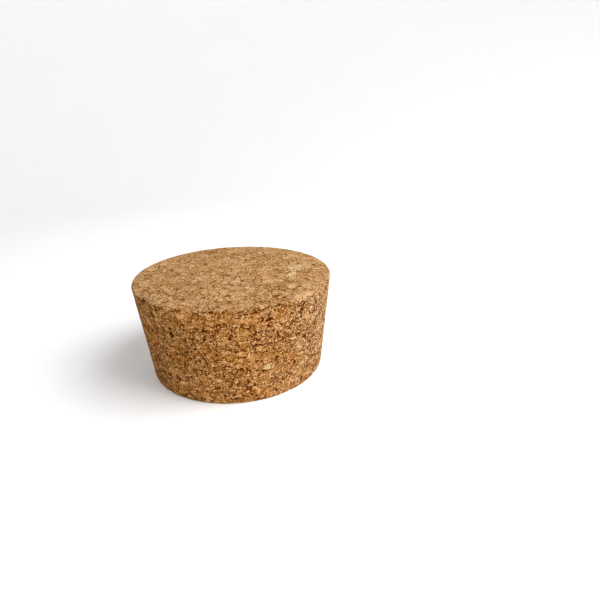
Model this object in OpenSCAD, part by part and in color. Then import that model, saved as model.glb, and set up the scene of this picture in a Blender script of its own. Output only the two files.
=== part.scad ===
// Tapered cork stopper: one plug ground from a block of agglomerated cork,
// standing on its narrow end. The origin is the centre of that end, +Z is up.

/* [Plug] */
// Diameter of the wide end, at its sharp corner
wide_d = 60; // [40:1:90]
// Diameter of the narrow end, at its sharp corner
narrow_d = 54; // [34:1:84]
// Height between the two flat ends
height = 29.5; // [20:0.5:50]

/* [Rims] */
// Rounding that the grinding leaves on the rim of the wide end
wide_round = 0.5; // [0.2:0.1:1.5]
// Rounding that the grinding leaves on the rim of the narrow end
narrow_round = 0.4; // [0.2:0.1:1.5]

/* [Voids] */
// Open voids in the tapered wall, where granules met badly or fell out
wall_voids = 90; // [0:1:140]
// Open voids in the wide end, which is sliced cleaner than the wall
wide_end_voids = 14; // [0:1:30]
// Open voids in the narrow end
narrow_end_voids = 14; // [0:1:30]
// Granules broken out of the rim of the wide end
wide_rim_chips = 9; // [0:1:16]
// Granules broken out of the rim of the narrow end
narrow_rim_chips = 9; // [0:1:16]
// Narrowest mouth of a void
void_w_min = 0.9; // [0.6:0.1:1.2]
// Widest mouth of a void
void_w_max = 2.2; // [1.3:0.1:2.6]
// Most that a void leans to one side, in degrees
void_lean = 18; // [0:1:25]

/* [Hidden] */

wide_r = wide_d / 2;
narrow_r = narrow_d / 2;
// Slope of the wall away from the axis, in degrees
taper = atan2(wide_r - narrow_r, height);
// Turn from one void to the next, which never lines two of them up
golden_angle = 137.508;
// Short straight steps that make up the curve of each rounded rim
rim_steps = 3;
// Turn that stands a cube on one corner, with its long diagonal upright
corner_turn = acos(1 / sqrt(3));

// Each set of voids draws its scatter from a seed of its own
wall_seed = 1;
wide_end_seed = 2;
narrow_end_seed = 3;
wide_rim_seed = 4;
narrow_rim_seed = 5;

// Draw number n for item i of one set: a repeatable scatter between 0 and 1
function scatter(i, seed, n) =
    let (s = sin(i * 127.1 + seed * 311.7 + n * 74.7) * 43758.5453)
    s - floor(s);

function mix(low, high, share) = low + (high - low) * share;

// Radius of the wall at height z
function wall_r(z) = mix(narrow_r, wide_r, z / height);

// Most voids are small, so the share is squared before it picks a width
function void_w(share) = mix(void_w_min, void_w_max, share * share);

// Arc of radius r inside the corner at [x, z], where a and b are the headings
// of the outward normals of the corner's two sides
function rim_arc(x, z, r, a, b) =
    let (
        reach = r / cos((b - a) / 2),
        cx = x - reach * cos((a + b) / 2),
        cz = z - reach * sin((a + b) / 2)
    )
    [for (k = [0 : rim_steps])
        let (h = mix(a, b, k / rim_steps))
        [cx + r * cos(h), cz + r * sin(h)]];

// Half section of the plug, out from the axis: flat ends, sloping wall, eased rims
module half_section() {
    polygon(concat(
        [[0, 0]],
        rim_arc(narrow_r, 0, narrow_round, -90, -taper),
        rim_arc(wide_r, height, wide_round, -taper, 90),
        [[0, height]]
    ));
}

module plug_blank() {
    rotate_extrude($fn = 120) half_section();
}

// The angular gap left where granules meet, cut down from the plane z = 0:
// a cube's corner whose mouth is a triangle of side w, leaning a little
module corner_gap(w, lean) {
    translate([0, 0, -w / sqrt(6)])
        rotate([lean, 0, 0])
            rotate(a = corner_turn, v = [1, -1, 0])
                cube(w);
}

// Void number i of one set: a gap with a smaller one running into its side
module granule_void(i, seed) {
    w = void_w(scatter(i, seed, 1));
    side_w = w * mix(0.6, 0.8, scatter(i, seed, 2));
    lean = mix(-void_lean, void_lean, scatter(i, seed, 3));
    rotate([0, 0, 360 * scatter(i, seed, 4)]) {
        corner_gap(w, lean);
        translate([w / 3, 0, 0]) rotate([0, 0, 60]) corner_gap(side_w, -lean);
    }
}

// Voids climb the wall on a golden-angle spiral, each nudged up or down
module wall_void_set() {
    margin = max(wide_round, narrow_round) + void_w_max;
    for (i = [1 : 1 : wall_voids]) {
        nudge = (scatter(i, wall_seed, 5) - 0.5) / sqrt(wall_voids);
        climb = min(1, max(0, (i - 0.5) / wall_voids + nudge));
        z = mix(margin, height - margin, climb);
        rotate([0, 0, i * golden_angle])
            translate([wall_r(z), 0, z])
                rotate([0, 90 + taper, 0])
                    granule_void(i, wall_seed);
    }
}

// Voids spread evenly over a flat end of radius end_r, clear of its middle and rim
module end_void_set(count, end_r, seed) {
    margin = void_w_max * 1.5;
    for (i = [1 : 1 : count]) {
        rotate([0, 0, (i + 0.3 * scatter(i, seed, 5)) * golden_angle])
            translate([mix(margin, end_r - margin, sqrt((i - 0.5) / count)), 0, 0])
                granule_void(i, seed);
    }
}

// Chips spaced round the corner of radius corner_r at height z, facing outwards
// along its bisector. The rounded rim lies a little below the sharp corner.
module rim_chip_set(count, corner_r, z, round, a, b, seed) {
    sink = round * (1 / cos((b - a) / 2) - 1);
    for (i = [1 : 1 : count]) {
        rotate([0, 0, 360 * (i + 0.7 * scatter(i, seed, 5)) / count])
            translate([corner_r, 0, z])
                rotate([0, 90 - (a + b) / 2, 0])
                    translate([0, 0, -sink])
                        granule_void(i, seed);
    }
}

module stopper() {
    color("burlywood") difference() {
        plug_blank();
        wall_void_set();
        translate([0, 0, height]) end_void_set(wide_end_voids, wide_r, wide_end_seed);
        mirror([0, 0, 1]) end_void_set(narrow_end_voids, narrow_r, narrow_end_seed);
        rim_chip_set(wide_rim_chips, wide_r, height, wide_round, -taper, 90, wide_rim_seed);
        rim_chip_set(narrow_rim_chips, narrow_r, 0, narrow_round, -90, -taper, narrow_rim_seed);
    }
}

stopper();
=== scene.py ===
import math

import bmesh
import bpy
import numpy as np
from mathutils import Matrix, Vector
from mathutils.geometry import convex_hull_2d


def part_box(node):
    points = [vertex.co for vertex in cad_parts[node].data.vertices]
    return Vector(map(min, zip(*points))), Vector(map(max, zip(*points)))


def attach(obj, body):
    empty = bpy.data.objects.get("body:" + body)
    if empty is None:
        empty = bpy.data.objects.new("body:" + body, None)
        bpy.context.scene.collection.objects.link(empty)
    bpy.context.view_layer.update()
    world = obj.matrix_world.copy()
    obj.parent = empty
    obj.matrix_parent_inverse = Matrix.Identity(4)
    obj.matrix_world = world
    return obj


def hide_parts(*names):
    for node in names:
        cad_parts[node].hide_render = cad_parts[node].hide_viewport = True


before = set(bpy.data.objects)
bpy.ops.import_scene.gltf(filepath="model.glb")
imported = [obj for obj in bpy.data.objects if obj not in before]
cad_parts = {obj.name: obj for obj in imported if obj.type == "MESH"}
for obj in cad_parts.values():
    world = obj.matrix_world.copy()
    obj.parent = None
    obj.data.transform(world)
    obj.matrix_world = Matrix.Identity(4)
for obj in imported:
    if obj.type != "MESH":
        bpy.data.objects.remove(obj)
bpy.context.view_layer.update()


# -------------------------------------------------------------- the stopper
# One piece of agglomerated cork: a tapered plug, ground to shape from a block of
# granules that were pressed and bonded together, and sliced flat at both ends.
# Its rims are lightly eased, and it stands on its narrow end.

scene = bpy.context.scene
MM = 0.001
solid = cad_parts["stopper"]
foot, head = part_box("stopper")

# Its bare skin comes first, as a fine grid of square cells that meets itself without a gap
blank_cell = 0.32 * MM
axis_gap = 1 * MM               # the middles of the ends, nearer the axis than this, are no outline
level_slack = 0.001 * MM        # how far from the foot or head a corner may be and still lie on it
weld_reach = 0.01 * MM          # how far apart the corners of two patches may be and still be one


def half_section(vertices):
    """A solid's outline from the edge of its foot up to the edge of its head, as (radius, height)."""
    corners = [(math.hypot(v.co.x, v.co.y), v.co.z) for v in vertices]
    hull = [corners[i] for i in convex_hull_2d(corners)]
    outline = sorted((p for p in hull if p[0] > axis_gap), key=lambda p: (p[1], p[0]))
    low = max(p for p in outline if p[1] < foot.z + level_slack)
    high = max(p for p in outline if p[1] > head.z - level_slack)
    return [low] + [p for p in outline if low[1] < p[1] < high[1]] + [high]


outline = np.array(half_section(solid.data.vertices))
along = np.concatenate([[0], np.cumsum(np.hypot(*np.diff(outline, axis=0).T))])
rows = math.ceil(along[-1] / blank_cell)
climb = np.linspace(0, along[-1], rows + 1)
wall_r = np.interp(climb, along, outline[:, 0])
wall_z = np.interp(climb, along, outline[:, 1])
# Each end is a square grid pushed out into a circle, so the wall has 4 of its sides
# around it. The side is an even number of cells, which puts a corner in the middle.
side = 2 * math.ceil(2 * math.pi * outline[:, 0].mean() / blank_cell / 8)
around = 4 * side

# Where each patch lies on the flat plan that the finish can be laid out on: the two
# ends side by side, and the two halves of the wall as strips above them
plan_gap = 1.2 * MM
most_stretch = 1.05             # how much taller a strip may be than the wall's slope calls for
wide_r, narrow_r = wall_r[-1], wall_r[0]
plan_w = 2 * (wide_r + narrow_r) + 3 * plan_gap
strip_w = plan_w - 2 * plan_gap
strip_h = along[-1] * min(1.0, most_stretch * strip_w / (math.pi * wall_r.mean()))
strips_from = 2 * wide_r + 2 * plan_gap
plan_h = strips_from + 2 * strip_h + 2 * plan_gap


def disc_patch(radius, height, turned, centre):
    """A round end as a square grid pushed out into a circle, so that no cell is a sliver."""
    s = np.linspace(-1, 1, side + 1)
    x, y = np.meshgrid(s, s, indexing="ij")
    flat = np.abs(x) >= np.abs(y)
    reach = np.where(flat, x, y)
    ratio = np.divide(np.where(flat, y, x), reach, out=np.zeros_like(x), where=reach != 0)
    turn = np.where(flat, math.pi / 4 * ratio, math.pi / 2 - math.pi / 4 * ratio)
    px = radius * reach * np.cos(turn)
    py = radius * reach * np.sin(turn)
    if turned:
        px, py = px[::-1], py[::-1]
    spots = np.stack([px, py, np.full_like(px, height)], -1)
    plan = np.stack([centre[0] + (-px if turned else px), centre[1] + py], -1)
    return spots, plan


def wall_patch(first, bottom):
    """Half of the wall, from one corner column to the opposite one."""
    column = np.arange(around // 2 + 1)[:, None]
    turn = (first + column) * 2 * math.pi / around
    level = np.broadcast_to(wall_z, (len(column), rows + 1))
    spots = np.stack([wall_r * np.cos(turn), wall_r * np.sin(turn), level], -1)
    right = plan_gap + column / (around // 2) * strip_w
    up = bottom + np.linspace(0, strip_h, rows + 1)[None, :]
    plan = np.stack(np.broadcast_arrays(right, up), -1)
    return spots, plan


patches = [
    disc_patch(wide_r, head.z, False, (plan_gap + wide_r, plan_gap + wide_r)),
    disc_patch(narrow_r, foot.z, True, (2 * plan_gap + 2 * wide_r + narrow_r, plan_gap + wide_r)),
    wall_patch(0, strips_from),
    wall_patch(around // 2, strips_from + strip_h + plan_gap),
]
skin_spots, skin_plan, quads = [], [], []
for spots, plan in patches:
    start = sum(len(s) for s in skin_spots)
    index = start + np.arange(spots.shape[0] * spots.shape[1]).reshape(spots.shape[:2])
    corners = [index[:-1, :-1], index[1:, :-1], index[1:, 1:], index[:-1, 1:]]
    quads.append(np.stack(corners, -1).reshape(-1, 4))
    skin_spots.append(spots.reshape(-1, 3))
    skin_plan.append(plan.reshape(-1, 2) / (plan_w, plan_h))
skin_spots, skin_plan, quads = map(np.concatenate, (skin_spots, skin_plan, quads))

blank = bpy.data.meshes.new("cork_blank")
blank.from_pydata(skin_spots.tolist(), [], quads.tolist())
layout = blank.uv_layers.new(name="OFBake")
layout.uv.foreach_set("vector", skin_plan[quads.ravel()].astype(np.float32).ravel())
weld = bmesh.new()
weld.from_mesh(blank)
bmesh.ops.remove_doubles(weld, verts=weld.verts, dist=weld_reach)
weld.to_mesh(blank)
weld.free()
blank.polygons.foreach_set("use_smooth", [True] * len(blank.polygons))
stopper = bpy.data.objects.new("cork_stopper", blank)
scene.collection.objects.link(stopper)


# The granules are angular and 1 to 4 mm across, and each is cut with its own grain and
# shade. They meet in thin dark seams, which the grinding of the wall tears open into
# pits, and which the slicing of the ends mostly leaves shut. Each size of granule stands
# here with the share that stays whole: the rest are broken into the next size down.
granule_sizes = ((3.3 * MM, 0.35), (1.9 * MM, 0.8), (1.2 * MM, 1.0))
pressing = 1.6                  # how much flatter than wide the pressed granules lie
pit_depth = 0.34 * MM           # of the deepest pit torn open in a seam
step_height = 0.07 * MM         # between the highest granules of the ground wall and the lowest
finer_seam = 1.35               # how much narrower the seams of the smaller granules are
out_of_reach = 9 * MM           # the distance given to a seam that isn't there


class Wire:
    """The output of a node, worked with like a number or, by its methods, like a vector."""

    def __init__(self, bench, socket):
        self.bench = bench
        self.socket = socket

    def maths(self, operation, *others):
        return self.bench.maths(operation, self, *others)

    def __add__(self, other):
        return self.maths("ADD", other)

    def __radd__(self, other):
        return self.maths("ADD", other)

    def __sub__(self, other):
        return self.maths("SUBTRACT", other)

    def __rsub__(self, other):
        return self.bench.maths("SUBTRACT", other, self)

    def __mul__(self, other):
        return self.maths("MULTIPLY", other)

    def __rmul__(self, other):
        return self.maths("MULTIPLY", other)

    def __truediv__(self, other):
        return self.maths("DIVIDE", other)

    def least(self, other):
        return self.maths("MINIMUM", other)

    def most(self, other):
        return self.maths("MAXIMUM", other)

    def ramp(self, low, high, start=0.0, end=1.0):
        """start where this is low, end where it is high, and eased between them."""
        return self.bench.add("ShaderNodeMapRange", {"interpolation_type": "SMOOTHSTEP"},
                              {"Value": self, "From Min": low, "From Max": high,
                               "To Min": start, "To Max": end})

    def vector(self, operation, other):
        key = "Scale" if operation == "SCALE" else 1
        out = "Value" if operation in ("DOT_PRODUCT", "DISTANCE") else 0
        return self.bench.add("ShaderNodeVectorMath", {"operation": operation}, {0: self, key: other}, out)

    def parts(self):
        split = self.bench.add("ShaderNodeSeparateXYZ", {}, {0: self}, None)
        return [Wire(self.bench, out) for out in split.outputs]


class Bench:
    """One node tree under construction."""

    def __init__(self, tree):
        self.tree = tree

    def add(self, kind, settings={}, inputs={}, out=0):
        """Adds a node: its settings first, then a value or a wire for each input."""
        node = self.tree.nodes.new(kind)
        for name, value in settings.items():
            if name == "stops":
                self.set_stops(node.color_ramp.elements, value)
            else:
                setattr(node, name, value)
        for name, value in inputs.items():
            socket = node.inputs[name] if isinstance(name, int) else next(
                s for s in node.inputs if name in (s.identifier, s.name) and s.enabled)
            if isinstance(value, Wire):
                self.tree.links.new(value.socket, socket)
            else:
                socket.default_value = value
        if out is None:
            return node
        return Wire(self, node.outputs[out])

    def set_stops(self, elements, stops):
        """Gives a new ramp, which comes with two stops, the stops wanted, as (place, colour)."""
        elements.remove(elements[1])
        elements[0].position = stops[0][0]
        elements[0].color = (*stops[0][1], 1)
        for at, colour in stops[1:]:
            elements.new(at).color = (*colour, 1)

    def maths(self, operation, *values):
        return self.add("ShaderNodeMath", {"operation": operation}, dict(enumerate(values)))

    def noise(self, place, size, detail=2.0, out=0):
        return self.add("ShaderNodeTexNoise", {}, {"Vector": place, "Scale": 1 / size, "Detail": detail}, out)

    def ripple(self, place, size, detail=2.0):
        """Noise that runs about as far below 0 as above it."""
        return self.noise(place, size, detail) - 0.5

    def push(self, place, size, most):
        """A random shift, of up to half of most each way, that changes over the distance size."""
        wave = self.noise(place, size, out="Color").vector("SUBTRACT", (0.5, 0.5, 0.5))
        return wave.vector("SCALE", most)

    def cells(self, place, size, feature="F1", out="Color"):
        return self.add("ShaderNodeTexVoronoi", {"feature": feature},
                        {"Vector": place, "Scale": 1 / size}, out)

    def blend(self, under, over, share, mode="MIX", kind="RGBA"):
        """A colour or a vector: under where share is 0, and mixed with over where it is 1."""
        ends, out = {"RGBA": (("A_Color", "B_Color"), 2), "VECTOR": (("A_Vector", "B_Vector"), 1)}[kind]
        return self.add("ShaderNodeMix", {"data_type": kind, "blend_type": mode},
                        {"Factor_Float": share, ends[0]: under, ends[1]: over}, out)


def cork_pattern(bench, place):
    """What the block is like at a place in it, by name:

    shade: three random shares that the granule there has for its own
    heart: the granule's middle, before the block was pressed
    facet: how the granule's cut face tips, above 0 on its high side and below on its low one
    low: 1 on the low side, 0 on the high one
    seam: how far the nearest seam is
    pit: 1 where that seam is torn open, 0 where it is shut
    ground: 0 in a granule of the largest size, 0.5 in the next and 1 in the smallest
    """
    lie = place.vector("MULTIPLY", (1, 1, pressing))
    # One slow wave bends the granules' edges, and one quick wave roughens them
    lie = lie.vector("ADD", bench.push(place, 2.4 * MM, 1.2 * MM))
    lie = lie.vector("ADD", bench.push(place, 0.6 * MM, 0.2 * MM))
    crushed = None
    for size, keep in granule_sizes:
        cell = bench.cells(lie, size, out=None)
        own = Wire(bench, cell.outputs["Color"])
        middle = Wire(bench, cell.outputs["Position"])
        tip = own.vector("SUBTRACT", (0.5, 0.5, 0.5))
        tilt = lie.vector("SUBTRACT", middle).vector("DOT_PRODUCT", tip) / size
        edge = bench.cells(lie, size, "DISTANCE_TO_EDGE", "Distance") * size
        breaks = own.parts()[0].maths("GREATER_THAN", keep)
        if crushed is None:
            shade, heart, facet, seam, crushed = own, middle, tilt, edge, breaks
            ground = crushed * 0.5
        else:
            shade = bench.blend(shade, own, crushed, kind="VECTOR")
            heart = bench.blend(heart, middle, crushed, kind="VECTOR")
            facet = facet + (tilt - facet) * crushed
            # Smaller granules have seams only where the larger one is broken up
            seam = seam.least(edge * finer_seam + (1 - crushed) * out_of_reach)
            crushed = crushed * breaks
            ground = ground + crushed * 0.5
    # Seams come open here and there, mostly along the low side of a tipped granule
    low = facet.ramp(0.06, -0.10)
    tear = bench.noise(place, 0.9 * MM)
    opening = (tear + low * 0.02 + ground * 0.03 - 0.015).ramp(0.49, 0.61)
    half_width = opening * 0.09 * MM * (0.65 + low * 0.6) + bench.ripple(place, 0.4 * MM, 1.0) * 0.15 * MM
    pit = (half_width - seam).ramp(-0.03 * MM, 0.03 * MM) * opening.ramp(0.0, 0.3)
    return {"shade": shade, "heart": heart, "facet": facet, "low": low, "seam": seam, "pit": pit,
            "ground": ground}


# The relief: every point sinks straight in, to the floor of the nearest void of the
# solid or of the pit in its seam, and each granule stands a little higher or lower
relief = bpy.data.node_groups.new("cork_relief", "GeometryNodeTree")
relief.is_modifier = True
for name, kind in (("Skin", "NodeSocketGeometry"), ("Solid", "NodeSocketObject"),
                   ("Pit depth", "NodeSocketFloat"), ("Step", "NodeSocketFloat"),
                   ("Finish", "NodeSocketMaterial")):
    relief.interface.new_socket(name, in_out="INPUT", socket_type=kind)
relief.interface.new_socket("Skin", in_out="OUTPUT", socket_type="NodeSocketGeometry")

bench = Bench(relief)
inlet = bench.add("NodeGroupInput", out=None)
given = {out.name: Wire(bench, out) for out in inlet.outputs if out.name}
place = bench.add("GeometryNodeInputPosition")
outward = bench.add("GeometryNodeInputNormal")
wall = outward.parts()[2].maths("ABSOLUTE").ramp(0.9, 0.35)
pattern = cork_pattern(bench, place)

# A ray from just above the skin straight in finds how deep the solid's voids are
lift = 1 * MM                   # of the ray's start above the skin
ray_length = 4 * MM             # enough for the deepest void
facet_depth = 0.02 * MM         # of the solid's flat facets under the skin, which are no voids
plug = bench.add("GeometryNodeObjectInfo", {}, {"Object": given["Solid"]}, "Geometry")
above = place.vector("ADD", outward.vector("SCALE", lift))
inward = outward.vector("SCALE", -1.0)
drop = bench.add("GeometryNodeRaycast", {}, {"Target Geometry": plug, "Source Position": above,
                                             "Ray Direction": inward, "Ray Length": ray_length}, None)
fall = Wire(bench, drop.outputs["Hit Distance"])
met = Wire(bench, drop.outputs["Is Hit"])
void = (fall - lift - facet_depth).most(0.0) * met
pit = pattern["pit"] * given["Pit depth"] * (0.4 + wall * 0.6)
step = pattern["shade"].parts()[1] * given["Step"] * (0.3 + wall * 0.7)
depth = void.most(pit) + step

# The finish is laid out from the skin's bare places, which the relief doesn't stretch
skin = given["Skin"]
for name, kind, value in (("bare_place", "FLOAT_VECTOR", place), ("on_wall", "FLOAT", wall),
                          ("void_depth", "FLOAT", void / MM)):
    skin = bench.add("GeometryNodeStoreNamedAttribute", {"data_type": kind, "domain": "POINT"},
                     {"Geometry": skin, "Name": name, "Value": value})
sinking = inward.vector("SCALE", depth)
skin = bench.add("GeometryNodeSetPosition", {}, {"Geometry": skin, "Offset": sinking})
skin = bench.add("GeometryNodeRealizeInstances", {}, {"Geometry": skin})
skin = bench.add("GeometryNodeSetMaterial", {}, {"Geometry": skin, "Material": given["Finish"]})
bench.add("NodeGroupOutput", {}, {"Skin": skin}, None)


# The finish: cork is pale where it is cut clean, redder where a granule holds more of
# the bark's back, dark in the seams, and painted with shade in its pits and voids. It is matt, and its grain
# is very fine.
cork = bpy.data.materials.new("ground_cork")
cork.use_nodes = True
cork.node_tree.nodes.clear()
bench = Bench(cork.node_tree)
place = bench.add("ShaderNodeAttribute", {"attribute_name": "bare_place"}, {}, "Vector")
wall = bench.add("ShaderNodeAttribute", {"attribute_name": "on_wall"}, {}, "Fac")
void = bench.add("ShaderNodeAttribute", {"attribute_name": "void_depth"}, {}, "Fac")
pattern = cork_pattern(bench, place)
pick, hue, stand = pattern["shade"].parts()
# The first share also says which granules break up, so it is shuffled before it picks a tone
pick = (pick * 17).maths("FRACT")

# Each granule is cut across its own growth lines, so its marks are drawn out one way
drawn_out = 0.65                # 0 would leave the marks round, and 1 draw them out into endless lines
grain_way = pattern["shade"].vector("SUBTRACT", (0.5, 0.5, 0.5))
grain_way = bench.add("ShaderNodeVectorMath", {"operation": "NORMALIZE"}, {0: grain_way})
run = grain_way.vector("DOT_PRODUCT", place)
drawn = place.vector("SUBTRACT", grain_way.vector("SCALE", run * drawn_out))

# The marks, from the largest down: uneven patches of the mix, flakes within a granule,
# growth lines, specks, and the grain of the cut itself
mottle = bench.ripple(place, 9 * MM)
chip = bench.cells(drawn, 0.80 * MM).parts()[0] - 0.5
streak = bench.ripple(drawn, 0.42 * MM, 1.0)
dark_line = streak.ramp(0.10, 0.17)
pale_line = streak.ramp(-0.10, -0.17)
speck = bench.ripple(place, 0.26 * MM, 1.0)
fine = bench.ripple(place, 0.14 * MM)

# Seams that stayed shut show as broken dark lines, drawn darker along a granule's low side as painted shade,
# and pits and voids are dark all over, as painted shade
patchy = bench.noise(place, 0.7 * MM).ramp(0.45, 0.56)
closed = pattern["seam"].ramp(0.11 * MM, 0.03 * MM)
closed = closed * (0.10 + patchy * 0.90) * (0.3 + pattern["low"] * 0.8)
ragged_void = (void + bench.ripple(place, 0.5 * MM) * 0.25).ramp(0.05, 0.22)
hollow = pattern["pit"].most(ragged_void * void.ramp(0.0, 0.04))

# The wall is painted paler, less red and more speckled towards its right side, where the lamp falls, as a
# painted highlight, and darker towards its left side, as painted shade
across = place.parts()[0] / MM
painted_lit_side = across.ramp(0.0, 26.0) * wall
painted_shade_side = across.ramp(-7.0, -27.0) * wall

# The tone of the cut, from 0 for the darkest bark to 1 for the palest cork
# the right of the wall gets stronger specks as part of its painted highlight
grit = speck * (1.45 + wall * 0.6 + painted_lit_side * 0.6) + chip * (0.21 + wall * 0.16 + painted_lit_side * 0.06)
tone = 0.635 - wall * 0.02 + (pick - 0.5) * 0.14 + mottle * 0.12
# The facet term is painted shade and highlight: each granule is drawn darker on its low side and lighter on
# its high side
tone = tone + grit * (0.88 + pattern["ground"] * 0.3) + pattern["facet"] * (0.19 + wall * 0.11)
tone = tone - dark_line * (0.18 + wall * 0.12) + pale_line * (0.09 + wall * 0.03)

# A few granules are much paler than the rest: their middle, the reach of the patch
# round it, both in millimetres, and how much paler it is. The palest are less red too.
standouts = [((7.2, -27.0, 11.3), 1.2, 0.39), ((19.0, 2.0, 29.2), 2.5, 0.18),
             ((17.2, -3.9, 29.2), 2.4, 0.18), ((0.7, -7.9, 29.2), 2.3, 0.12)]
bleached = 0.0
for (x, y, z), reach, paler in standouts:
    off = pattern["heart"].vector("DISTANCE", (x * MM, y * MM, z * pressing * MM))
    chosen = off.maths("LESS_THAN", reach * MM)
    tone = tone + chosen * paler
    if paler > 0.15:
        bleached = chosen + bleached
# Shut seams are drawn dark, with painted shade on a granule's low side, and pits and voids are darkened as
# painted shade
tone = (tone - closed * 0.65) * (1 - hollow * (0.78 + wall * 0.12))

colour = bench.add("ShaderNodeValToRGB", {"stops": [
    (0.0, (0.078, 0.012, 0.0)),         # bark
    (0.25, (0.175, 0.060, 0.003)),      # brown
    (0.50, (0.305, 0.151, 0.043)),      # chestnut
    (0.63, (0.43, 0.238, 0.105)),       # tan
    (0.83, (0.58, 0.36, 0.18)),         # pale tan
    (1.0, (0.76, 0.51, 0.29)),          # cream
]}, {"Fac": tone}, "Color")
for stain, share in (
        ((0.99, 0.74, 0.36, 1), wall * tone.ramp(0.30, 1.05, 1.0, 0.4)),    # the wall is warmer
        # painted highlight on the right of the wall, then painted shade on its left
        ((0.91, 1.05, 1.38, 1), painted_lit_side),
        ((0.80, 0.79, 0.79, 1), painted_shade_side),
        ((1.02, 0.965, 0.90, 1), hue.ramp(0.72, 0.92)),                     # redder granules
        ((0.97, 1.0, 0.92, 1), hue.ramp(0.30, 0.10)),                       # more olive ones
        ((0.95, 1.04, 1.08, 1), bleached)):
    colour = bench.blend(colour, stain, share, "MULTIPLY")

# A clean cut is a little smoother than the torn floor of a pit
dullness = 0.84 + hollow * 0.12 - pale_line * 0.05
# The heights that are too fine for the relief, in millimetres
dome = pattern["seam"].ramp(0.0, 0.20 * MM)
rise = pattern["facet"] * (0.10 + wall * 0.45) + dome * (0.03 + wall * 0.04) + stand * (0.02 + wall * 0.05)
rise = rise + streak * 0.06 + speck * 0.06 + fine * 0.03 - hollow * (0.05 + wall * 0.08)
bump = bench.add("ShaderNodeBump", {}, {"Strength": 1.0, "Distance": MM, "Height": rise}, "Normal")
surface = bench.add("ShaderNodeBsdfPrincipled", {},
                    {"Base Color": colour, "Roughness": dullness, "Specular IOR Level": 0.02, "Normal": bump})
bench.add("ShaderNodeOutputMaterial", {}, {"Surface": surface}, None)

carving = stopper.modifiers.new("relief", "NODES")
carving.node_group = relief
inputs = {"Solid": solid, "Pit depth": pit_depth, "Step": step_height, "Finish": cork}
for item in relief.interface.items_tree:
    if item.in_out == "INPUT" and item.name in inputs:
        carving[item.identifier] = inputs[item.name]
now = bpy.context.evaluated_depsgraph_get()
carved = bpy.data.meshes.new_from_object(stopper.evaluated_get(now), preserve_all_data_layers=True,
                                         depsgraph=now)
stopper.modifiers.remove(carving)
stopper.data = carved
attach(stopper, "root")
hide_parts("stopper")


# ---------------------------------------------------------------- the studio
# A matt white sheet lies flat under the stopper and sweeps up all round it. One large
# soft lamp stands high on the right, the sky over the open top is dim, and the sheet
# is lit from below a little, which keeps the shadow soft.
floor_r = 0.30
sweep_r = 0.30
rim_z = 0.80
turns = 96
sweep = [(floor_r, 0.0)]
sweep += [(floor_r + sweep_r * math.sin(t), sweep_r - sweep_r * math.cos(t))
          for t in np.linspace(0.1, math.pi / 2, 12)]
sweep += [(floor_r + sweep_r, rim_z)]
points = [(0.0, 0.0, 0.0)]
points += [(r * math.cos(a), r * math.sin(a), z) for r, z in sweep
           for a in np.linspace(0, 2 * math.pi, turns, endpoint=False)]
faces = [(0, 1 + i, 1 + (i + 1) % turns) for i in range(turns)]
for ring in range(len(sweep) - 1):
    inner = 1 + ring * turns
    outer = inner + turns
    faces += [(inner + i, outer + i, outer + (i + 1) % turns, inner + (i + 1) % turns) for i in range(turns)]
paper = bpy.data.meshes.new("paper")
paper.from_pydata(points, [], faces)
paper.polygons.foreach_set("use_smooth", [True] * len(paper.polygons))
sheet = bpy.data.objects.new("paper", paper)
scene.collection.objects.link(sheet)
lit_white = bpy.data.materials.new("lit_white")
lit_white.use_nodes = True
white = lit_white.node_tree.nodes["Principled BSDF"].inputs
white["Base Color"].default_value = (0.9, 0.9, 0.9, 1)
white["Roughness"].default_value = 0.9
white["Emission Color"].default_value = (1, 1, 1, 1)
white["Emission Strength"].default_value = 0.12
paper.materials.append(lit_white)


def soft_lamp(name, azimuth, elevation, distance, size, power):
    """A square lamp that faces the stopper. Azimuth 0 is the right-hand side, 90 is behind."""
    lamp = bpy.data.lights.new(name, "AREA")
    lamp.shape = "SQUARE"
    lamp.size = size
    lamp.energy = power
    a = math.radians(azimuth)
    e = math.radians(elevation)
    way = Vector((math.cos(a) * math.cos(e), math.sin(a) * math.cos(e), math.sin(e)))
    fixture = bpy.data.objects.new(name, lamp)
    fixture.location = Vector((0, 0, head.z / 2)) + way * distance
    fixture.rotation_euler = way.to_track_quat("Z", "Y").to_euler()
    scene.collection.objects.link(fixture)


soft_lamp("window", azimuth=-18, elevation=48, distance=0.45, size=0.40, power=2.9)
world = bpy.data.worlds.new("sky")
scene.world = world
world.use_nodes = True
sky = world.node_tree.nodes["Background"].inputs
sky["Color"].default_value = (1, 1, 1, 1)
sky["Strength"].default_value = 0.03
scene.view_settings.view_transform = "Standard"


# ---------------------------------------------------------------- the camera
# Close above the stopper with a wide lens, turned a little so that the stopper
# stands left of and below the middle of the view, and tipped to one side.
camera_distance = 155.15 * MM
camera_elevation = math.radians(28.91)
camera_turns = {"Y": -8.02, "X": 1.34, "Z": -4.77}      # right, up and tipped, in degrees
lens = bpy.data.cameras.new("camera")
lens.lens = 27.49
lens.sensor_width = 36
lens.clip_start = 5 * MM
eye = bpy.data.objects.new("camera", lens)
scene.collection.objects.link(eye)
back = camera_distance * math.cos(camera_elevation)
up = camera_distance * math.sin(camera_elevation)
eye.location = (0, -back, up)
aim = (Vector((0, 0, head.z / 2)) - eye.location).to_track_quat("-Z", "Y").to_matrix()
for axis, degrees in camera_turns.items():
    aim = aim @ Matrix.Rotation(math.radians(degrees), 3, axis)
eye.rotation_euler = aim.to_euler()
scene.camera = eye
